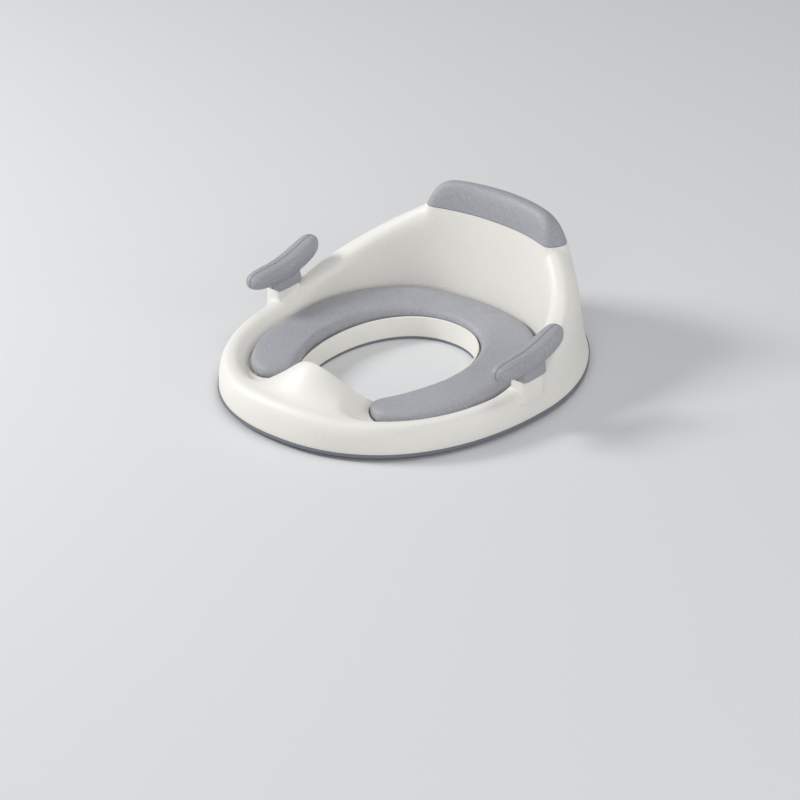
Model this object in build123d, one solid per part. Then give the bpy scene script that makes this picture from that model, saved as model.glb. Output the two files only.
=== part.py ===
from build123d import *
import math
import os

# Toddler toilet trainer seat. Millimetres, +Z up. The user faces -Y, so the splash guard is at -Y
# and the backrest at +Y. The origin is under the middle of the seat, on the plane that the
# lowest edge, the soft ring round the opening, stands on.

# ---- driving dimensions ----------------------------------------------------------------------
WALL = 3.0  # moulded wall thickness
FOOT_Z = 7.0  # underside of the shell's outer wall
RING_Z = 4.0  # underside of the outer soft ring, which rests on the toilet seat
COLLAR_Z = 3.0  # bottom of the wall round the opening
RIM_Z = 34.5  # crest of the low rim
LIP_Z = 24.0  # lips on both sides of the cushion's recess
RECESS_Z = 19.0  # floor of the cushion's recess
CUSHION_Z = 32.5  # top of the cushion
CAP_Z = 112.0  # where the soft cap meets the backrest
CAP_TOP_Z = 138.5  # top of the soft cap
SHOULDER_ANGLE = 60.6  # ray on which the cap's round shoulder starts
SHOULDER_SPAN = 14.5  # degrees the shoulder takes
INSERT_LOW_Z = 98.0  # bottom of the cap's carrier
INSERT_HALF = 58.0
HUMP_RISE = 40.0  # splash guard above the lip level
HUMP_REACH = 50.0  # half the width of the splash guard's ridge
CENTRE_Y = -12.0  # rays that set out the sections start at (0, CENTRE_Y)
CLIMB_ANGLE = -12.0  # ray on which the rim starts to climb towards the backrest
CLIMB_POWER = 1.45
OUTER_RING_WIDE = 9.0
INNER_RING_WIDE = 6.5

# Egg-shaped outlines: half width, front length, rear length, front power, rear power, middle y.
BASE = (165.0, 207.0, 191.0, 2.25, 1.92, 8.0)
WELL = (130.0, 143.0, 135.0, 2.41, 2.25, -16.5)
OPENING = (71.5, 113.5, 97.0, 1.95, 2.18, -28.5)

# Handles: the stub on the shell, and the grip's sections along its length.
STUB_X = 155.0  # middle of a stub
STUB_Y = -8.0
STUB_WIDE = 19.5
STUB_LONG = 30.5
STUB_TOP_Z = 48.5
STUB_LOW_Z = 23.0
TENON_WIDE = 11.0
TENON_LONG = 20.0
TENON_DEPTH = 20.0
STUB_CORNER = 3.0
GRIP_COLLAR_HIGH = 14.0
CORE_SHARE = 0.45  # thickness of the rigid core as a share of the grip
FIT_GAP = 0.3  # clearance of a push fit, each side

# Cushion tips: slanting, round-cornered ends beside the splash guard.
TIP_IN_ANGLE = -66.0  # ray through the end's inner corner
TIP_OUT_ANGLE = -61.0  # ray through its outer corner
TIP_RADIUS = 14.0
CUSHION_GAP = 1.5  # between cushion and recess wall
CUSHION_LIP_GAP = 3.5  # between cushion and opening
CUSHION_EDGE = 4.0  # radius of its upper edges

# Grip stations: y, z, half thickness, half height.
GRIP_STATIONS = (
    (-59.0, 66.5, 3.0, 3.0),
    (-55.0, 66.5, 8.0, 7.0),
    (-42.0, 66.0, 11.0, 9.5),
    (-22.0, 64.8, 11.5, 10.5),
    (-7.0, 65.5, 11.5, 11.0),
    (9.0, 68.5, 11.5, 11.5),
    (24.0, 73.0, 11.0, 11.0),
    (36.0, 77.0, 9.0, 8.5),
    (42.0, 78.5, 3.5, 3.5),
)

# Fastenings
PLATE_TOP_Z = 9.5
SCREW_ANGLES = (-45, -8, 40, 90, 140, 188, 225)
STUD_ANGLES = (-27, 16, 65, 115, 164, 207)
BOSS_RADIUS = 4.0
SCREW_RADIUS = 1.5
HEAD_RADIUS = 2.8
HEAD_HIGH = 1.6
SCREW_LONG = 9.0
SLOT_LONG = 3.2
SLOT_WIDE = 0.8
PLATE_GAP = 1.2  # between base plate and shell walls
STUD_RADIUS = 3.0
STUD_LONG = 11.0
STUD_BELOW = 5.0  # how far a stud reaches below the recess floor
FLANGE_HIGH = 1.5
SPACE = 600.0  # cutting blocks are larger than the seat
UPRIGHT = (Align.CENTER, Align.CENTER, Align.MIN)

os.makedirs("parts", exist_ok=True)


# ---- outlines --------------------------------------------------------------------------------
def inside(outline, x, y):
    wide, front, rear, front_power, rear_power, middle = outline
    long = rear if y > middle else front
    power = rear_power if y > middle else front_power
    return (abs(x) / wide) ** power + (abs(y - middle) / long) ** power < 1


def reach(outline, angle):
    """Distance from the rays' start to the outline at this angle, by halving."""
    near, far = 0.0, 400.0
    c, s = math.cos(math.radians(angle)), math.sin(math.radians(angle))
    for _ in range(40):
        mid = (near + far) / 2
        if inside(outline, mid * c, CENTRE_Y + mid * s):
            near = mid
        else:
            far = mid
    return near


def on_ray(radius, angle):
    a = math.radians(angle)
    return radius * math.cos(a), CENTRE_Y + radius * math.sin(a)


def egg_face(outline, grow, count=48):
    """Flat face inside the outline, grown outwards along the rays."""
    spots = []
    for i in range(count):
        angle = 360 * i / count
        spots.append(on_ray(reach(outline, angle) + grow, angle))
    return make_face(Spline(*spots, periodic=True))


def prism(face, low, high):
    return Pos(0, 0, low) * extrude(face, high - low)


def ring(outer, grow_out, inner, grow_in, low, high):
    return prism(egg_face(outer, grow_out), low, high) - prism(egg_face(inner, grow_in), low - 1, high + 1)


# ---- heights of the shell along a ray ---------------------------------------------------------
def smooth(value):
    t = min(max(value, 0.0), 1.0)
    return t * t * (3 - 2 * t)


def crest_height(angle):
    """Low rim in front, arms that climb past the handles, then the round-shouldered backrest."""
    if angle < SHOULDER_ANGLE:
        climb = max(angle - CLIMB_ANGLE, 0) / (SHOULDER_ANGLE - CLIMB_ANGLE)
        return RIM_Z + (CAP_Z - RIM_Z) * climb**CLIMB_POWER
    across = min((angle - SHOULDER_ANGLE) / SHOULDER_SPAN, 1)
    return CAP_Z + (CAP_TOP_Z - CAP_Z) * math.sin(across * math.pi / 2)


def crest_share(angle):
    """Where the crest lies between the recess, 0, and the foot, 1."""
    return 0.57 - 0.25 * smooth(angle / 90)


def hump(angle):
    """Splash guard's ridge above the lip level where a ray crosses the opening's edge."""
    x, y = on_ray(reach(OPENING, angle), angle)
    if y > 0 or abs(x) > HUMP_REACH:
        return 0.0
    return HUMP_RISE * math.cos(math.pi * x / (2 * HUMP_REACH))


def section(angle, inset):
    """Closed section of the shell's body on one ray, shrunk by inset on its upper side."""
    foot = reach(BASE, angle) - 1.0 - inset
    well = reach(WELL, angle) + inset
    edge = reach(OPENING, angle) + inset
    rise = hump(angle)
    guard = smooth(rise / HUMP_RISE)
    tall = smooth((crest_height(angle) - RIM_Z) / 60)
    crest = well + crest_share(angle) * (foot - well)
    top = crest_height(angle) + 4 * guard - inset
    ridge = LIP_Z + rise - inset
    ledge = LIP_Z + 0.82 * rise - inset
    outer = [(foot, FOOT_Z)]
    for part, low_share, tall_share in ((0.3, 0.02, 0.24), (0.65, 0.12, 0.42), (0.9, 0.40, 0.68)):
        share = low_share + (tall_share - low_share) * tall
        outer.append((foot - share * (foot - crest), FOOT_Z + part * (top - FOOT_Z)))
    outer.append((crest, top))
    inner = [(crest, top)]
    if guard < 0.02:
        for part, share in ((0.88, 0.58), (0.5, 0.28)):
            inner.append((well + share * (crest - well), ledge + part * (top - ledge)))
    else:
        for part, share in ((0.55, 0.66), (0.24, 0.33)):
            inner.append((well + share * (crest - well), ledge + part * (top - ledge)))
    inner.append((well, ledge))
    floor = [(well, ledge)]
    for share in (0.66, 0.33):
        floor.append((edge + share * (well - edge), ledge + (ridge - ledge) * (1 - share**1.7)))
    floor.append((edge, ridge))
    climb = 0.9 * guard
    drop = (-0.25 - 0.75 * guard, -1 + 1.5 * guard)
    bottom = COLLAR_Z if inset == 0 else COLLAR_Z - 5
    a = math.radians(angle)
    ray = Plane(
        origin=(0, CENTRE_Y, 0),
        x_dir=(math.cos(a), math.sin(a), 0),
        z_dir=(math.sin(a), -math.cos(a), 0),
    )
    edges = [
        Line((foot, bottom), (foot, FOOT_Z)),
        Spline(*outer, tangents=((-0.05, 1), (-1, climb))),
        Spline(*inner, tangents=((-1, climb), drop)),
        Spline(*floor),
        Line((edge, ridge), (edge, bottom)),
        Line((edge, bottom), (foot, bottom)),
    ]
    return ray * make_face(edges)


FRONT_ANGLES = [-98, -90, -82, -76, -71, -66, -61, -55, -46, -34, -22, -10]
REAR_ANGLES = [2, 14, 26, 37, 47, 55, 60.6, 66, 72, 78, 84, 90, 96]
RIGHT_SIDE = Pos(SPACE / 2, 0, 0) * Box(SPACE, SPACE, SPACE)


def both_sides(solid):
    half = solid & RIGHT_SIDE
    return half + mirror(half, Plane.YZ)


def seat_body(inset):
    return both_sides(loft([section(angle, inset) for angle in FRONT_ANGLES + REAR_ANGLES]))


def slab(low, high):
    return Pos(0, 0, (low + high) / 2) * Box(SPACE, SPACE, high - low)


# ---- cushion plan: a C round the opening, open at the splash guard -----------------------------
def arc_round(outline, grow, start):
    """Points along an outline from one cut-off end round the back to the other."""
    spots = []
    steps = 30
    for i in range(steps + 1):
        angle = start + (180 - 2 * start) * i / steps
        spots.append(on_ray(reach(outline, angle) + grow, angle))
    return spots


def cushion_plan(grow):
    """Band between recess and opening, cut off slanting at both ends, with rounded corners."""
    outer = arc_round(WELL, grow - CUSHION_GAP, TIP_OUT_ANGLE - grow / 2.6)
    inner = arc_round(OPENING, CUSHION_LIP_GAP - grow, TIP_IN_ANGLE - grow / 2.6)
    edges = [Spline(*outer), Line(outer[-1], inner[-1]), Spline(*inner), Line(inner[0], outer[0])]
    band = Sketch() + make_face(edges)
    front_corners = band.vertices().filter_by(lambda v: v.Y < CENTRE_Y)
    return fillet(front_corners, TIP_RADIUS)


def band_spot(angle):
    """Middle of the cushion's band on a ray."""
    return on_ray((reach(WELL, angle) + reach(OPENING, angle)) / 2, angle)


# ---- shell, with the soft cap and its carrier, which continue its back -------------------------
def make_stub(side):
    body = Box(STUB_WIDE, STUB_LONG, STUB_TOP_Z - STUB_LOW_Z)
    body = fillet(body.edges().filter_by(Axis.Z), STUB_CORNER)
    socket_deep = TENON_DEPTH + 1
    socket = Pos(0, 0, (STUB_TOP_Z - STUB_LOW_Z - socket_deep) / 2) * Box(
        TENON_WIDE + 2 * FIT_GAP, TENON_LONG + 2 * FIT_GAP, socket_deep
    )
    place = Pos(side * STUB_X, STUB_Y, (STUB_TOP_Z + STUB_LOW_Z) / 2)
    return place * body, place * socket


def make_shell(body, cavity):
    tray = prism(cushion_plan(CUSHION_GAP + WALL), RECESS_Z - WALL, LIP_Z - 1)
    shell = (body & slab(0, CAP_Z)) - (cavity - tray)
    shell -= prism(cushion_plan(CUSHION_GAP), RECESS_Z, CAP_Z)
    shell -= ring(BASE, 20, OPENING, WALL + 0.2, COLLAR_Z - 6, FOOT_Z)
    for side in (-1, 1):
        stub, socket = make_stub(side)
        shell += stub & prism(egg_face(BASE, -1.2), 0, CAP_Z)
        shell -= socket
    for angle in SCREW_ANGLES:
        foot = Pos(*band_spot(angle), PLATE_TOP_Z)
        shell += foot * Cylinder(BOSS_RADIUS, RECESS_Z - 0.5 - PLATE_TOP_Z, align=UPRIGHT)
        shell -= Pos(0, 0, -1) * foot * Cylinder(SCREW_RADIUS, SCREW_LONG, align=UPRIGHT)
    for angle in STUD_ANGLES:
        shell -= Pos(*band_spot(angle), RECESS_Z) * Cylinder(STUD_RADIUS + FIT_GAP, 4 * WALL)
    return shell


def make_cap(body, cavity):
    return (body & slab(CAP_Z, CAP_TOP_Z + 5)) - cavity


def make_cap_insert():
    rib = seat_body(WALL + FIT_GAP) & slab(INSERT_LOW_Z, CAP_TOP_Z)
    rib -= seat_body(2 * WALL + FIT_GAP) & slab(0, CAP_TOP_Z - 4 * WALL)
    return rib & Box(2 * INSERT_HALF, SPACE, SPACE)


# ---- under the shell ---------------------------------------------------------------------------
def make_base_plate():
    plate = ring(BASE, -1.0 - WALL - PLATE_GAP, OPENING, WALL + PLATE_GAP, FOOT_Z, PLATE_TOP_Z)
    for angle in SCREW_ANGLES:
        foot = Pos(*band_spot(angle), FOOT_Z)
        plate -= foot * Cylinder(SCREW_RADIUS + FIT_GAP, 2 * SCREW_LONG)
        plate -= foot * Cylinder(HEAD_RADIUS + FIT_GAP, 2 * HEAD_HIGH)
    return plate


def make_base_screws():
    screws = []
    for angle in SCREW_ANGLES:
        screw = Cylinder(HEAD_RADIUS, HEAD_HIGH, align=UPRIGHT)
        screw += Cylinder(SCREW_RADIUS, SCREW_LONG, align=UPRIGHT)
        screw -= Box(SLOT_LONG, SLOT_WIDE, HEAD_HIGH) + Box(SLOT_WIDE, SLOT_LONG, HEAD_HIGH)
        screws.append(Pos(*band_spot(angle), FOOT_Z) * screw)
    return Compound(children=screws)


def make_outer_skid_ring():
    return ring(BASE, 0, BASE, -OUTER_RING_WIDE, RING_Z, FOOT_Z)


def make_inner_skid_ring():
    lower = ring(OPENING, INNER_RING_WIDE, OPENING, 0, 0, COLLAR_Z)
    return lower + ring(OPENING, INNER_RING_WIDE, OPENING, WALL + FIT_GAP, COLLAR_Z, FOOT_Z)


# ---- cushion -----------------------------------------------------------------------------------
def make_studs():
    studs = []
    for angle in STUD_ANGLES:
        stud = Cylinder(STUD_RADIUS, STUD_LONG, align=UPRIGHT)
        stud += Pos(0, 0, STUD_LONG / 2) * Cylinder(3 * STUD_RADIUS, FLANGE_HIGH, align=UPRIGHT)
        stud = chamfer(stud.edges().sort_by(Axis.Z)[0], 1)
        studs.append(Pos(*band_spot(angle), RECESS_Z - STUD_BELOW) * stud)
    return Compound(children=studs)


def make_cushion():
    pad = prism(cushion_plan(0), RECESS_Z + FIT_GAP, CUSHION_Z)
    pad = fillet(pad.edges().group_by(Axis.Z)[-1], CUSHION_EDGE)
    for stud in make_studs().solids():
        pad -= stud
    return pad


# ---- handles -----------------------------------------------------------------------------------
def grip_bar(grow, first, last):
    """Rocker-shaped bar: ellipses across the length, low in front and raised behind."""
    slices = []
    for y, z, half_wide, half_high in GRIP_STATIONS[first:last]:
        plane = Plane(origin=(0, y, z), x_dir=(1, 0, 0), z_dir=(0, -1, 0))
        slices.append(plane * Ellipse(half_wide * grow, half_high * grow))
    return loft(slices)


def make_handle(side):
    place = Pos(side * STUB_X, 0, 0)
    collar = Pos(0, STUB_Y, STUB_TOP_Z + FIT_GAP + GRIP_COLLAR_HIGH / 2) * Box(
        STUB_WIDE + 1, STUB_LONG + 1, GRIP_COLLAR_HIGH
    )
    grip = grip_bar(1, 0, None) + fillet(collar.edges().filter_by(Axis.Z), STUB_CORNER)
    tenon_low = STUB_TOP_Z - TENON_DEPTH
    tenon_top = STUB_TOP_Z + GRIP_COLLAR_HIGH
    tenon = Pos(0, STUB_Y, (tenon_low + tenon_top) / 2) * Box(TENON_WIDE, TENON_LONG, tenon_top - tenon_low)
    core = grip_bar(CORE_SHARE, 1, -1) + tenon
    cover = grip - core
    outward = Pos(side * SPACE / 2, 0, 0) * Box(SPACE, SPACE, SPACE)
    inward = Pos(-side * SPACE / 2, 0, 0) * Box(SPACE, SPACE, SPACE)
    return place * core, place * (cover & inward), place * (cover & outward)


body = seat_body(0)
cavity = seat_body(WALL)
nodes = {
    "seat_shell": make_shell(body, cavity),
    "backrest_cap": make_cap(body, cavity),
    "backrest_cap_insert": make_cap_insert(),
    "base_plate": make_base_plate(),
    "base_plate_screws": make_base_screws(),
    "outer_skid_ring": make_outer_skid_ring(),
    "inner_skid_ring": make_inner_skid_ring(),
    "seat_cushion": make_cushion(),
    "cushion_studs": make_studs(),
}
for side_name, side in (("left", -1), ("right", 1)):
    core, inner_half, outer_half = make_handle(side)
    nodes[side_name + "_grip_core"] = core
    nodes[side_name + "_grip_inner"] = inner_half
    nodes[side_name + "_grip_outer"] = outer_half

for name, shape in nodes.items():
    export_step(shape, os.path.join("parts", name + ".step"))
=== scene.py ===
import math

import bmesh
import bpy
from mathutils import Matrix, Vector
from mathutils.bvhtree import BVHTree
from mathutils.geometry import interpolate_bezier


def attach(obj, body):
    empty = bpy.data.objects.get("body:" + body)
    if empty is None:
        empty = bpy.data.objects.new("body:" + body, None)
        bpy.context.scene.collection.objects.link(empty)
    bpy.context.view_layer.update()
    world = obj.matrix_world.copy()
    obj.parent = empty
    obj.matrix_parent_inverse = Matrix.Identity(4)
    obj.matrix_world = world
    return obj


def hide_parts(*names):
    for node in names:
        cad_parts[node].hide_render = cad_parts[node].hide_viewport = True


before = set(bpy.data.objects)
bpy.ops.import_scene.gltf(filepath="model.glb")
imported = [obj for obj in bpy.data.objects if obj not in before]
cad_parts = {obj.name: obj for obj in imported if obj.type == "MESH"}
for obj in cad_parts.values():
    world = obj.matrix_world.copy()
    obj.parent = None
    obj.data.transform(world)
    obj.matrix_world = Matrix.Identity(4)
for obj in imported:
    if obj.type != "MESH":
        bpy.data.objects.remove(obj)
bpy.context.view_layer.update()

# ---- Camera, light and floor -------------------------------------------------------------------
# Long lens from the front right, looking down on the seat. One large soft lamp from the front left,
# weaker ones from the front right, above and the right side, an even pale sky, a pale floor.
AZIMUTH = math.radians(39.8)
ELEVATION = math.radians(27.5)
DISTANCE = 5.0137
LENS = 230.04
right = Vector((math.cos(AZIMUTH), math.sin(AZIMUTH), 0))
back = Vector((
    math.sin(AZIMUTH) * math.cos(ELEVATION),
    -math.cos(AZIMUTH) * math.cos(ELEVATION),
    math.sin(ELEVATION),
))
up = back.cross(right)
LOOK_AT = Vector((0, 0.008, 0.004))
SHIFT_RIGHT, SHIFT_UP = -0.01322, -0.03582
aim = LOOK_AT + SHIFT_RIGHT * right + SHIFT_UP * up
camera_data = bpy.data.cameras.new("camera")
camera_data.lens = LENS
camera_data.clip_end = 50
camera = bpy.data.objects.new("camera", camera_data)
facing = Matrix((right, up, back)).transposed().to_4x4()
camera.matrix_world = Matrix.Translation(aim + DISTANCE * back) @ facing
bpy.context.collection.objects.link(camera)
bpy.context.scene.camera = camera
LAMP_TARGET = Vector((0, 0, 0.05))


def soft_lamp(name, place, size, power):
    data = bpy.data.lights.new(name, "AREA")
    data.size = size
    data.energy = power
    lamp = bpy.data.objects.new(name, data)
    aim_at = (LAMP_TARGET - Vector(place)).to_track_quat("-Z", "Y")
    lamp.matrix_world = Matrix.Translation(place) @ aim_at.to_matrix().to_4x4()
    bpy.context.collection.objects.link(lamp)


soft_lamp("key", (-1.75, -0.95, 1.35), 0.7, 38)
soft_lamp("fill", (1.5, -1.9, 1.0), 1.6, 15)
soft_lamp("top", (0.3, 0.5, 2.2), 1.2, 8)
soft_lamp("side", (2.2, 0.3, 1.1), 1.4, 10)
sky = bpy.data.worlds.new("studio")
sky.use_nodes = True
sky.node_tree.nodes["Background"].inputs["Color"].default_value = (0.97, 0.98, 1.0, 1)
sky.node_tree.nodes["Background"].inputs["Strength"].default_value = 0.36
bpy.context.scene.world = sky
bpy.context.scene.view_settings.view_transform = "Standard"


def linear(hex_colour):
    """Linear colour from an sRGB hex value."""
    parts = [int(hex_colour[i:i + 2], 16) / 255 for i in (1, 3, 5)]
    return tuple(p / 12.92 if p <= 0.04045 else ((p + 0.055) / 1.055) ** 2.4 for p in parts) + (1,)


def add(tree, kind, settings=None, **links):
    """Adds a node; settings are its properties and input values, links feed its inputs."""
    node = tree.nodes.new(kind)
    for name, value in (settings or {}).items():
        if hasattr(node, name):
            setattr(node, name, value)
        else:
            node.inputs[name].default_value = value
    for name, source in links.items():
        tree.links.new(source, node.inputs[name.replace("_", " ")])
    return node


def new_material(name):
    material = bpy.data.materials.new(name)
    material.use_nodes = True
    tree = material.node_tree
    return material, tree, tree.nodes["Principled BSDF"]


def coat(piece, material):
    """Gives a piece one material in place of any it has."""
    piece.data.materials.clear()
    piece.data.materials.append(material)


floor_mesh = bmesh.new()
bmesh.ops.create_grid(floor_mesh, x_segments=1, y_segments=1, size=4)
floor_data = bpy.data.meshes.new("floor")
floor_mesh.to_mesh(floor_data)
floor = bpy.data.objects.new("floor", floor_data)
bpy.context.collection.objects.link(floor)
painted_floor, tree, surface = new_material("pale matt floor paint")
surface.inputs["Base Color"].default_value = linear("#DADBDC")
surface.inputs["Roughness"].default_value = 0.7
floor_data.materials.append(painted_floor)

# ---- Seat shell --------------------------------------------------------------------------------
# One moulding in off-white polypropylene with a fine matt grain: low round rim, arms that climb
# to the backrest, splash guard, recess for the cushion and the wall round the opening. Two stubs
# carry the handles; sockets for the handles and holes for the press studs are not cut.
MM = 0.001
CENTRE_Y = -12.0
BASE = (165.0, 207.0, 191.0, 2.25, 1.92, 8.0)
WELL = (132.0, 145.0, 137.5, 2.41, 2.25, -16.5)
OPENING = (71.5, 113.5, 97.0, 1.95, 2.18, -28.5)
FOOT_Z, COLLAR_Z, RIM_Z, LIP_Z, RECESS_Z = 7.0, 3.0, 34.5, 24.0, 19.0
CAP_Z, ARM_TOP_Z, CAP_TOP_Z = 112.0, 109.5, 138.5
SHOULDER_ANGLE, SHOULDER_SPAN = 59.6, 15.5
HUMP_RISE, HUMP_REACH = 40.0, 50.0
LIP_ROUND = 1.2
CLIMB_ANGLE, CLIMB_POWER = 12, 1.45
GUARD_RIM_RISE = 4
CUSHION_GAP, CUSHION_LIP_GAP = 1.3, 3.5
RECESS_CUT_TOP_Z = 75
BACK_LEAN = 0.15
WELL_LIP_Z = 22.0


def reach(outline, angle):
    """Distance in mm from the middle of the seat to an egg-shaped outline, by halving."""
    wide, front, rear, front_power, rear_power, middle = outline
    near, far = 0.0, 400.0
    for _ in range(30):
        mid = (near + far) / 2
        x = abs(mid * math.cos(angle)) / wide
        y = CENTRE_Y + mid * math.sin(angle) - middle
        y, power = (y / rear, rear_power) if y > 0 else (-y / front, front_power)
        if x**power + y**power < 1:
            near = mid
        else:
            far = mid
    return near


def on_ray(radius, angle, z=0.0):
    """Point in metres at a radius in mm on a ray from the middle of the seat."""
    return Vector((radius * math.cos(angle), CENTRE_Y + radius * math.sin(angle), z)) * MM


def smooth(value):
    t = min(max(value, 0.0), 1.0)
    return t * t * (3 - 2 * t)


def from_side(angle):
    """Degrees from the +X side towards the back, the same on both sides of the seat."""
    return math.degrees(math.asin(math.sin(angle)))


def crest_height(angle):
    """Low rim in front, arms that climb past the handles, then the round-shouldered backrest."""
    side = from_side(angle)
    if side < SHOULDER_ANGLE:
        climbed = (max(side + CLIMB_ANGLE, 0) / (SHOULDER_ANGLE + CLIMB_ANGLE)) ** CLIMB_POWER
        return RIM_Z + (ARM_TOP_Z - RIM_Z) * climbed
    across = min((side - SHOULDER_ANGLE) / SHOULDER_SPAN, 1)
    return ARM_TOP_Z + (CAP_TOP_Z - ARM_TOP_Z) * (1 - (1 - across) ** 4)


def guard_rise(angle):
    """Splash guard's ridge above the lip, where a ray crosses the opening's edge."""
    across = abs(reach(OPENING, angle) * math.cos(angle))
    if math.sin(angle) > 0 or across > HUMP_REACH:
        return 0.0
    return HUMP_RISE * math.cos(math.pi * across / (2 * HUMP_REACH))


def flare(z, angle):
    """Share of the way from foot to crest that the tall outer wall has leaned in at a height."""
    wall_top = RIM_Z + (CAP_TOP_Z - RIM_Z) * smooth((from_side(angle) + CLIMB_ANGLE) / 90)
    part = (z - FOOT_Z) / (wall_top - FOOT_Z)
    return 0.1 * (1 - math.exp(-part / 0.12)) + 0.42 * part


def shell_ring(station, angle):
    """Radius and height of one station on the moulding's skin: 0 at the foot, 1 at the crest,
    2 at the recess, 3 at the opening."""
    foot, well, edge = (reach(line, angle) - trim for line, trim in ((BASE, 1.0), (WELL, 0), (OPENING, 0)))
    rise = guard_rise(angle)
    top = crest_height(angle) + GUARD_RIM_RISE * smooth(rise / HUMP_RISE)
    tall = smooth((top - RIM_Z) / 28)
    crest = well + (0.57 - 0.25 * smooth(from_side(angle) / 90)) * (foot - well)
    if station <= 1:
        part = math.sin(station * math.pi / 2) ** 0.8
        low = 1 - (1 - part**2.6) ** (1 / 2.6)
        z = FOOT_Z + (top - FOOT_Z) * part
        high = flare(z, angle) + (1 - flare(top, angle)) * (1 - (1 - part**9) ** 0.5)
        return foot + (low + (high - low) * tall) * (crest - foot), z
    if station <= 2:
        part = 1 - (station - 1) ** 1.7
        low = 1 - (1 - part) ** 0.5
        z = WELL_LIP_Z + (top - WELL_LIP_Z) * part
        lean = BACK_LEAN * smooth((from_side(angle) - 5) / 40)
        leaned = lean * (top - WELL_LIP_Z)
        high = lean * (z - WELL_LIP_Z) + (crest - well - leaned) * (1 - (1 - part**12) ** 0.5)
        radius = well + low * (crest - well) * (1 - tall) + high * tall
    else:
        radius = well + (station - 2) * (edge + LIP_ROUND - well)
        z = WELL_LIP_Z + (LIP_Z - WELL_LIP_Z) * (station - 2)
    dome = LIP_Z + rise + (top - LIP_Z - rise) * smooth((radius - edge) / (crest - edge))
    return radius, z + (dome - z) * smooth((-from_side(angle) - 60) / 14)


def ring_of(mesh, count, spot):
    """Closed loop of vertices placed by spot(angle)."""
    loop = bmesh.ops.create_circle(mesh, segments=count, radius=1)["verts"]
    for i, vertex in enumerate(loop):
        vertex.co = spot(2 * math.pi * i / count)
    return loop


def pull_ring(mesh, loop, spot):
    """Extrudes the loop once and places the new vertices."""
    edges = [mesh.edges.get((a, b)) for a, b in zip(loop, loop[1:] + loop[:1])]
    made = bmesh.ops.extrude_edge_only(mesh, edges=edges)["geom"]
    fresh = {v for v in made if isinstance(v, bmesh.types.BMVert)}
    order = []
    for i, old in enumerate(loop):
        new = next(e.other_vert(old) for e in old.link_edges if e.other_vert(old) in fresh)
        new.co = spot(2 * math.pi * i / len(loop))
        order.append(new)
    return order


def finish_mesh(mesh, name, material, body, sharp=35):
    """Turns a bmesh into a smooth-shaded piece with crisp edges where it turns sharply."""
    bmesh.ops.remove_doubles(mesh, verts=mesh.verts, dist=1e-6)
    bmesh.ops.recalc_face_normals(mesh, faces=mesh.faces)
    data = bpy.data.meshes.new(name)
    mesh.to_mesh(data)
    mesh.free()
    data.shade_smooth()
    data.set_sharp_from_angle(angle=math.radians(sharp))
    data.materials.append(material)
    piece = bpy.data.objects.new(name, data)
    bpy.context.collection.objects.link(piece)
    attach(piece, body)
    return piece


def apply_modifiers(piece):
    evaluated = piece.evaluated_get(bpy.context.evaluated_depsgraph_get())
    data = bpy.data.meshes.new_from_object(evaluated)
    piece.modifiers.clear()
    piece.data = data


def cushion_outline(grow):
    """The cushion's C seen from above, in metres: two long arcs joined by slanting round ends."""
    steps = 90

    def arc(outline, extra, start):
        first = math.radians(start)
        angles = [first + (math.pi - 2 * first) * i / steps for i in range(steps + 1)]
        return [on_ray(reach(outline, angle) + extra, angle) for angle in angles]

    def corner(outline, extra, degrees, side):
        angle = math.radians(degrees if side > 0 else 180 - degrees)
        return on_ray(reach(outline, angle) + extra, angle)

    def rounded(start, tip, end):
        reached = start.lerp(tip, 0.72), end.lerp(tip, 0.72)
        return interpolate_bezier(start, reached[0], reached[1], end, 14)

    outer, inner = arc(WELL, grow - CUSHION_GAP, -49), arc(OPENING, CUSHION_LIP_GAP - grow, -58)
    loop = outer
    for side, (start, end) in ((-1, (outer[-1], inner[-1])), (1, (inner[0], outer[0]))):
        tip_out = corner(WELL, grow - CUSHION_GAP, -59.5 - grow / 2.4, side)
        tip_in = corner(OPENING, CUSHION_LIP_GAP - grow, -66.5 - grow / 2.4, side)
        middle = tip_out.lerp(tip_in, 0.5)
        first, last = (tip_out, tip_in) if side < 0 else (tip_in, tip_out)
        turn = rounded(start, first, middle)[1:] + rounded(middle, last, end)[1:-1]
        loop = loop + (turn + inner[::-1] if side < 0 else turn)
    return loop


def prism_mesh(outline, low, high):
    """Closed upright prism on an outline, heights in mm."""
    mesh = bmesh.new()
    loop = [mesh.verts.new((p.x, p.y, low * MM)) for p in outline]
    face = mesh.faces.new(loop)
    top = bmesh.ops.extrude_face_region(mesh, geom=[face])["geom"]
    for v in top:
        if isinstance(v, bmesh.types.BMVert):
            v.co.z = high * MM
    bmesh.ops.recalc_face_normals(mesh, faces=mesh.faces)
    return mesh


polypropylene, tree, surface = new_material("moulded polypropylene, fine matt grain")
place = add(tree, "ShaderNodeTexCoord").outputs["Object"]
# Grain taken as 0.3 mm; drawn 1.3 mm coarse so that it still shows.
grain = add(tree, "ShaderNodeTexNoise", {"Scale": 800.0, "Detail": 2.0}, Vector=place)
cloud = add(tree, "ShaderNodeTexNoise", {"Scale": 9.0, "Detail": 2.0}, Vector=place)
both = add(tree, "ShaderNodeMix", {"data_type": "FLOAT"}, A=grain.outputs["Fac"], B=cloud.outputs["Fac"])
both.inputs["Factor"].default_value = 0.15
tint = add(tree, "ShaderNodeValToRGB", Fac=both.outputs[0])
tint.color_ramp.elements[0].position = 0.35
tint.color_ramp.elements[0].color = linear("#E6E4DD")
tint.color_ramp.elements[1].position = 0.65
tint.color_ramp.elements[1].color = linear("#ECEAE4")
bump = add(tree, "ShaderNodeBump", {"Strength": 0.7, "Distance": 0.00015}, Height=grain.outputs["Fac"])
tree.links.new(tint.outputs["Color"], surface.inputs["Base Color"])
tree.links.new(bump.outputs["Normal"], surface.inputs["Normal"])
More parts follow.
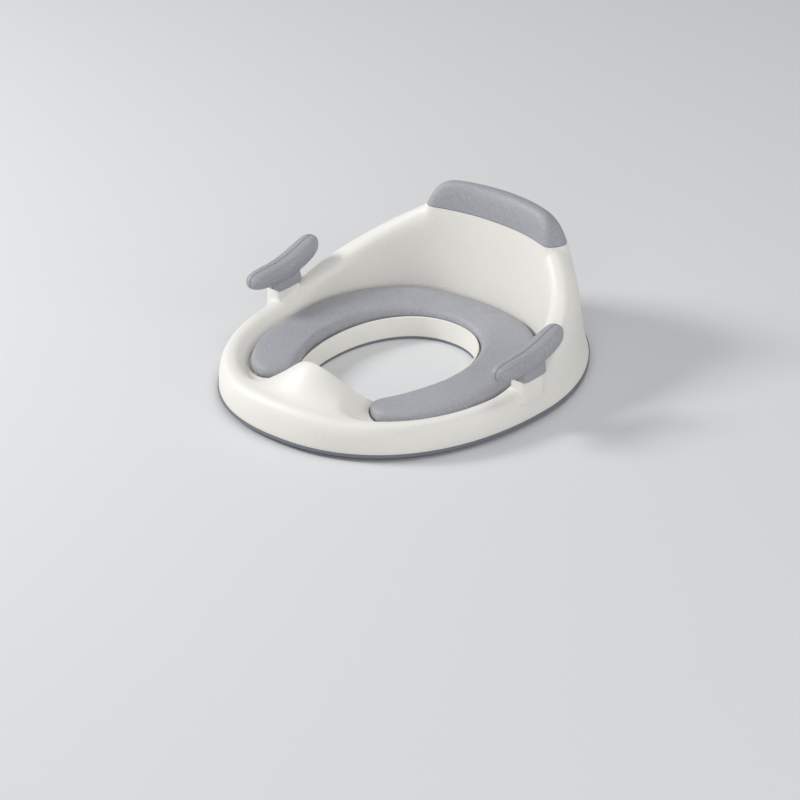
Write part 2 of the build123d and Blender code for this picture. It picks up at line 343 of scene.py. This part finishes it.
surface.inputs["Roughness"].default_value = 0.48
surface.inputs["IOR"].default_value = 1.49

AROUND = 360
skin = bmesh.new()


def skin_spot(station):
    def spot(angle):
        radius, z = shell_ring(station, angle)
        return on_ray(radius, angle, z)
    return spot


stations = [i / 18 for i in range(1, 19)]
stations += [1 + i / 16 for i in range(1, 17)]
stations += [2 + i / 8 for i in range(1, 9)]
first = ring_of(skin, AROUND, skin_spot(0))
loop = first
for station in stations:
    loop = pull_ring(skin, loop, skin_spot(station))
for trim, drop in ((0.35, 0.35), (0.0, LIP_ROUND)):
    loop = pull_ring(skin, loop, lambda angle: on_ray(
        reach(OPENING, angle) + trim, angle, LIP_Z + guard_rise(angle) - drop
    ))
for trim, z in ((0.0, COLLAR_Z), (3.0, COLLAR_Z), (3.0, 9.5)):
    loop = pull_ring(skin, loop, lambda angle: on_ray(reach(OPENING, angle) + trim, angle, z))
for trim, z in ((4.0, 9.5), (4.0, FOOT_Z)):
    loop = pull_ring(skin, loop, lambda angle: on_ray(reach(BASE, angle) - trim, angle, z))
closing = [skin.edges.get((a, b)) for ring in (first, loop) for a, b in zip(ring, ring[1:] + ring[:1])]
bmesh.ops.bridge_loops(skin, edges=closing)
shell = finish_mesh(skin, "shell_moulding", polypropylene, "seat")


def carve(piece, mesh, name):
    """Cuts a closed mesh out of a piece."""
    data = bpy.data.meshes.new(name)
    mesh.to_mesh(data)
    mesh.free()
    tool = bpy.data.objects.new(name, data)
    bpy.context.collection.objects.link(tool)
    cut = piece.modifiers.new(name, "BOOLEAN")
    cut.object = tool
    cut.solver = "EXACT"
    apply_modifiers(piece)
    bpy.data.objects.remove(tool)


carve(shell, prism_mesh(cushion_outline(CUSHION_GAP), RECESS_Z, RECESS_CUT_TOP_Z), "recess_tool")
CAP_GAP = 0.4
PARTING_Y, PARTING_SLOPE = 118.0, -0.06


def cut_level(piece, z, keep_above):
    """Cuts a closed piece along the slightly tilted parting, drops one side and closes the cut."""
    mesh = bmesh.new()
    mesh.from_mesh(piece.data)
    cut = bmesh.ops.bisect_plane(
        mesh, geom=mesh.verts[:] + mesh.edges[:] + mesh.faces[:], dist=1e-6,
        plane_co=(0, PARTING_Y * MM, z * MM), plane_no=(0, -PARTING_SLOPE, 1),
        clear_outer=not keep_above, clear_inner=keep_above,
    )["geom_cut"]
    rim = [e for e in cut if isinstance(e, bmesh.types.BMEdge) and e.is_valid]
    bmesh.ops.edgeloop_fill(mesh, edges=rim)
    bmesh.ops.recalc_face_normals(mesh, faces=mesh.faces)
    mesh.to_mesh(piece.data)
    mesh.free()
    piece.data.shade_smooth()
    piece.data.set_sharp_from_angle(angle=math.radians(38))


cap = shell.copy()
cap.data = shell.data.copy()
cap.name = "backrest_soft_cap"
bpy.context.collection.objects.link(cap)
cut_level(cap, CAP_Z + CAP_GAP, True)
cut_level(shell, CAP_Z - CAP_GAP, False)

STUB_X, STUB_Y = 155.0, -8.0
STUB_WIDE, STUB_LONG, STUB_TOP_Z = 19.5, 30.5, 47.6
STUB_FOOT_Z = 27.0
STUB_FOOT_ROUND = (
    (2.2, -0.7, 45.2), (1.3, 0.3, 45.5), (0.5, 1.2, 45.8), (0, 2.6, 46.1), (0, 6, 46.4),
)


def rounded_box(wide, long, power, angle):
    """Point on a box with round corners, seen from above."""
    c, s = math.cos(angle), math.sin(angle)
    size = (abs(2 * c / wide) ** power + abs(2 * s / long) ** power) ** (-1 / power)
    return size * c, size * s


shell_surface = BVHTree.FromObject(shell, bpy.context.evaluated_depsgraph_get())


def stub_spot(side, grow, above, highest):
    """Point on a ring of the stub: it follows the moulding under it, up to a highest level."""
    def spot(angle):
        x, y = rounded_box(STUB_WIDE + 2 * grow, STUB_LONG + 2 * grow, 7, angle)
        x, y = side * STUB_X + x, STUB_Y + y
        ray = math.atan2(y - CENTRE_Y, x)
        radius = min(math.hypot(x, y - CENTRE_Y), reach(BASE, ray) - 0.2)
        place = on_ray(radius, ray, 200)
        hit = shell_surface.ray_cast(place, (0, 0, -1))[0]
        under = max(hit.z / MM if hit else 0, STUB_FOOT_Z)
        place.z = min(under + above, highest) * MM
        return place
    return spot


for side in (-1, 1):
    stub = bmesh.new()
    first = loop = ring_of(stub, 64, stub_spot(side, -6, -4, 40))
    for grow, above, highest in STUB_FOOT_ROUND:
        loop = pull_ring(stub, loop, stub_spot(side, grow, above, highest))
    for grow, z in ((0, 46.7), (-0.3, 47.3), (-0.9, STUB_TOP_Z)):
        loop = pull_ring(stub, loop, stub_spot(side, grow, 200, z))
    stub.faces.new(first)
    stub.faces.new(loop)
    name = "right_handle_stub" if side > 0 else "left_handle_stub"
    finish_mesh(stub, name, polypropylene, "seat", 50)

coat(shell, polypropylene)
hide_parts("seat_shell")
coat(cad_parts["base_plate"], polypropylene)

# ---- Backrest cap ------------------------------------------------------------------------------
# Cover of cool grey soft-touch elastomer round a rigid rib. It carries on the shape of the
# backrest: flat in front, round along its top edge, with shoulders that run down into the arms.
elastomer, tree, surface = new_material("soft-touch thermoplastic elastomer, fine matt grain")
place = add(tree, "ShaderNodeTexCoord").outputs["Object"]
# Grain taken as 0.3 mm; drawn 1.3 mm coarse so that it still shows.
grain = add(tree, "ShaderNodeTexNoise", {"Scale": 750.0, "Detail": 3.0}, Vector=place)
speckle = add(tree, "ShaderNodeValToRGB", Fac=grain.outputs["Fac"])
speckle.color_ramp.elements[0].position = 0.3
speckle.color_ramp.elements[0].color = linear("#93949A")
speckle.color_ramp.elements[1].position = 0.7
speckle.color_ramp.elements[1].color = linear("#ABACB2")
bump = add(tree, "ShaderNodeBump", {"Strength": 0.7, "Distance": 0.0002}, Height=grain.outputs["Fac"])
tree.links.new(speckle.outputs["Color"], surface.inputs["Base Color"])
tree.links.new(bump.outputs["Normal"], surface.inputs["Normal"])
surface.inputs["Roughness"].default_value = 0.55
surface.inputs["IOR"].default_value = 1.5
coat(cap, elastomer)
CAP_WALL = 4
rib = cap.copy()
rib.data = cap.data.copy()
rib.name = "backrest_cap_rib"
bpy.context.collection.objects.link(rib)
for vertex, normal in zip(rib.data.vertices, [v.normal.copy() for v in rib.data.vertices]):
    vertex.co -= CAP_WALL * MM * normal
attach(rib, "seat")
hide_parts("backrest_cap_insert")
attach(cap, "seat")
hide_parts("backrest_cap")

# ---- Cushion -----------------------------------------------------------------------------------
# C-shaped pad of integral-skin polyurethane foam, cool grey with a fine grain. It lies in the
# shell's recess, held by press studs, with full round edges and a slightly crowned top.
CUSHION_Z = 32.5
CUSHION_EDGE = 6.5
PAD_SHRINK = 0.5
MOST_SWELL = 1.3
VOXEL = 3.0
SWELL_PRESSURE = 4
SWELL_FRAMES = 20

foam, tree, surface = new_material("integral-skin polyurethane foam, fine grain")
place = add(tree, "ShaderNodeTexCoord").outputs["Object"]
# Grain taken as 0.3 mm; drawn 1.3 mm coarse so that it still shows.
grain = add(tree, "ShaderNodeTexNoise", {"Scale": 750.0, "Detail": 3.0}, Vector=place)
cloud = add(tree, "ShaderNodeTexNoise", {"Scale": 14.0, "Detail": 2.0}, Vector=place)
both = add(tree, "ShaderNodeMix", {"data_type": "FLOAT"}, A=grain.outputs["Fac"], B=cloud.outputs["Fac"])
both.inputs["Factor"].default_value = 0.3
speckle = add(tree, "ShaderNodeValToRGB", Fac=both.outputs[0])
speckle.color_ramp.elements[0].position = 0.35
speckle.color_ramp.elements[0].color = linear("#93949A")
speckle.color_ramp.elements[1].position = 0.65
speckle.color_ramp.elements[1].color = linear("#ACADB3")
bump = add(tree, "ShaderNodeBump", {"Strength": 0.7, "Distance": 0.0002}, Height=grain.outputs["Fac"])
tree.links.new(speckle.outputs["Color"], surface.inputs["Base Color"])
tree.links.new(bump.outputs["Normal"], surface.inputs["Normal"])
surface.inputs["Roughness"].default_value = 0.6
surface.inputs["IOR"].default_value = 1.5

pad = prism_mesh(cushion_outline(-PAD_SHRINK), RECESS_Z + 0.4, CUSHION_Z - PAD_SHRINK)
top_edges = [e for e in pad.edges if all(v.co.z > (CUSHION_Z - 2) * MM for v in e.verts)]
bmesh.ops.bevel(
    pad, geom=top_edges, offset=CUSHION_EDGE * MM, segments=6, profile=0.5, affect="EDGES", material=-1,
    clamp_overlap=False,
)
cushion = finish_mesh(pad, "seat_pad", foam, "cushion", 180)


def remesh(piece, size):
    grid = piece.modifiers.new("remesh", "REMESH")
    grid.mode = "VOXEL"
    grid.voxel_size = size * MM
    grid.use_smooth_shade = True
    apply_modifiers(piece)


def relax(piece, factor, times):
    calm = piece.modifiers.new("relax", "SMOOTH")
    calm.factor = factor
    calm.iterations = times
    apply_modifiers(piece)


remesh(cushion, VOXEL)
relax(cushion, 0.5, 2)
rest = [v.co.copy() for v in cushion.data.vertices]
cloth = cushion.modifiers.new("swell", "CLOTH")
cloth.settings.use_pressure = True
cloth.settings.uniform_pressure_force = SWELL_PRESSURE
cloth.settings.effector_weights.gravity = 0
cloth.point_cache.frame_start = 1
cloth.point_cache.frame_end = SWELL_FRAMES
for moment in range(1, SWELL_FRAMES + 1):
    bpy.context.scene.frame_set(moment)
apply_modifiers(cushion)
for vertex, before in zip(cushion.data.vertices, rest):
    moved = vertex.co - before
    if moved.length > MOST_SWELL * MM:
        vertex.co = before + moved * (MOST_SWELL * MM / moved.length)
    vertex.co.z = min(max(vertex.co.z, (RECESS_Z + 0.3) * MM), (CUSHION_Z + 0.5) * MM)
bpy.context.scene.frame_set(1)
finer = cushion.modifiers.new("finer", "SUBSURF")
finer.levels = finer.render_levels = 1
apply_modifiers(cushion)
cushion.data.shade_smooth()
coat(cushion, foam)
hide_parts("seat_cushion")

# ---- Handles -----------------------------------------------------------------------------------
# Rocker-shaped grips, low in front and raised behind, each a rigid core with two elastomer half
# covers that meet in a seam along the middle. A square collar sits on the shell's stub.
GRIP_STATIONS = (
    (-57.5, 66.3, 4.5, 4.0),
    (-54.5, 66.3, 8.0, 6.8),
    (-48, 66.2, 10.4, 8.4),
    (-38, 65.6, 11.3, 9.4),
    (-25, 65.0, 11.5, 10.0),
    (-10, 65.6, 11.5, 10.6),
    (5, 68.2, 11.5, 11.2),
    (19, 72.0, 11.5, 11.6),
    (30, 75.8, 10.8, 11.2),
    (36.5, 77.6, 9.0, 9.2),
    (40.5, 78.4, 5.0, 5.2),
)
COLLAR_LOW_Z, COLLAR_HIGH_Z = 47.9, 61.0
COLLAR_LONG, COLLAR_Y = 34.5, -6.6
SEAM_GAP = 0.25
SEAM_BEVEL = 0.8
GRIP_VOXEL = 1.0


def grip_spot(side, station):
    y, z, half_wide, half_high = station

    def spot(angle):
        x, up = rounded_box(2 * half_wide, 2 * half_high, 2.7, angle)
        return Vector((side * STUB_X + x, y, z + up)) * MM
    return spot


def collar_spot(side, grow, z):
    def spot(angle):
        x, y = rounded_box(STUB_WIDE + 1 + 2 * grow, COLLAR_LONG + 2 * grow, 8, angle)
        return Vector((side * STUB_X + x, COLLAR_Y + y, z)) * MM
    return spot


def grip_half(whole, outward, side, name, node):
    """Keeps one side of the seam and rounds the seam's edge."""
    mesh = bmesh.new()
    mesh.from_mesh(whole.data)
    cut = bmesh.ops.bisect_plane(
        mesh, geom=mesh.verts[:] + mesh.edges[:] + mesh.faces[:], dist=1e-6,
        plane_co=((side * STUB_X + outward * SEAM_GAP) * MM, 0, 0), plane_no=(-outward, 0, 0),
        clear_outer=True,
    )["geom_cut"]
    rim = [e for e in cut if isinstance(e, bmesh.types.BMEdge) and e.is_valid]
    bmesh.ops.edgeloop_fill(mesh, edges=rim)
    rim = [e for e in mesh.edges if any(len(f.verts) > 30 for f in e.link_faces)]
    bmesh.ops.bevel(
        mesh, geom=rim, offset=SEAM_BEVEL * MM, segments=2, profile=0.5, affect="EDGES", material=-1,
        clamp_overlap=False,
    )
    piece = finish_mesh(mesh, name, elastomer, node.split("_")[0] + "_handle", 60)
    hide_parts(node)


for side in (-1, 1):
    hand = "right" if side > 0 else "left"
    bar = bmesh.new()
    first = loop = ring_of(bar, 24, grip_spot(side, GRIP_STATIONS[0]))
    for station in GRIP_STATIONS[1:]:
        loop = pull_ring(bar, loop, grip_spot(side, station))
    bar.faces.new(first)
    bar.faces.new(loop)
    whole = finish_mesh(bar, hand + "_grip_blank", elastomer, hand + "_handle", 180)
    rounder = whole.modifiers.new("rounder", "SUBSURF")
    rounder.levels = rounder.render_levels = 2
    apply_modifiers(whole)
    both = bmesh.new()
    both.from_mesh(whole.data)
    first = loop = ring_of(both, 48, collar_spot(side, -0.8, COLLAR_LOW_Z))
    for grow, z in ((0, COLLAR_LOW_Z + 0.8), (0, 54), (-1.5, COLLAR_HIGH_Z), (-5, COLLAR_HIGH_Z + 1)):
        loop = pull_ring(both, loop, collar_spot(side, grow, z))
    both.faces.new(first)
    both.faces.new(loop)
    bmesh.ops.recalc_face_normals(both, faces=both.faces)
    both.to_mesh(whole.data)
    both.free()
    remesh(whole, GRIP_VOXEL)
    relax(whole, 0.5, 5)
    grip_half(whole, side, side, hand + "_grip_outer_cover", hand + "_grip_outer")
    grip_half(whole, -side, side, hand + "_grip_inner_cover", hand + "_grip_inner")
    bpy.data.objects.remove(whole)

# ---- Soft rings --------------------------------------------------------------------------------
# Blue-grey anti-slip elastomer: one band under the shell's outer edge, one round the foot of the
# opening's wall.
grip_rubber, tree, surface = new_material("anti-slip elastomer, blue-grey")
place = add(tree, "ShaderNodeTexCoord").outputs["Object"]
grain = add(tree, "ShaderNodeTexNoise", {"Scale": 800.0, "Detail": 2.0}, Vector=place)
speckle = add(tree, "ShaderNodeValToRGB", Fac=grain.outputs["Fac"])
speckle.color_ramp.elements[0].color = linear("#696C78")
speckle.color_ramp.elements[1].color = linear("#7F828E")
tree.links.new(speckle.outputs["Color"], surface.inputs["Base Color"])
surface.inputs["Roughness"].default_value = 0.7
surface.inputs["IOR"].default_value = 1.5
for node in ("outer_skid_ring", "inner_skid_ring"):
    coat(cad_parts[node], grip_rubber)

# ---- Hidden pieces -----------------------------------------------------------------------------
# Grip cores, the cap's rib and the cushion's press studs are plain grey ABS; the base plate's
# screws are zinc-plated steel.
abs_plastic, tree, surface = new_material("moulded ABS, plain grey")
place = add(tree, "ShaderNodeTexCoord").outputs["Object"]
cloud = add(tree, "ShaderNodeTexNoise", {"Scale": 60.0, "Detail": 2.0}, Vector=place)
speckle = add(tree, "ShaderNodeValToRGB", Fac=cloud.outputs["Fac"])
speckle.color_ramp.elements[0].color = linear("#85878B")
speckle.color_ramp.elements[1].color = linear("#94969A")
tree.links.new(speckle.outputs["Color"], surface.inputs["Base Color"])
surface.inputs["Roughness"].default_value = 0.45
surface.inputs["IOR"].default_value = 1.53
coat(rib, abs_plastic)
for node in ("left_grip_core", "right_grip_core", "cushion_studs"):
    coat(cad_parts[node], abs_plastic)

zinc, tree, surface = new_material("zinc-plated steel")
place = add(tree, "ShaderNodeTexCoord").outputs["Object"]
cloud = add(tree, "ShaderNodeTexNoise", {"Scale": 500.0, "Detail": 3.0}, Vector=place)
wear = add(tree, "ShaderNodeMapRange", {"To Min": 0.25, "To Max": 0.42}, Value=cloud.outputs["Fac"])
tree.links.new(wear.outputs["Result"], surface.inputs["Roughness"])
surface.inputs["Base Color"].default_value = linear("#C3C5C8")
surface.inputs["Metallic"].default_value = 1.0
coat(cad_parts["base_plate_screws"], zinc)
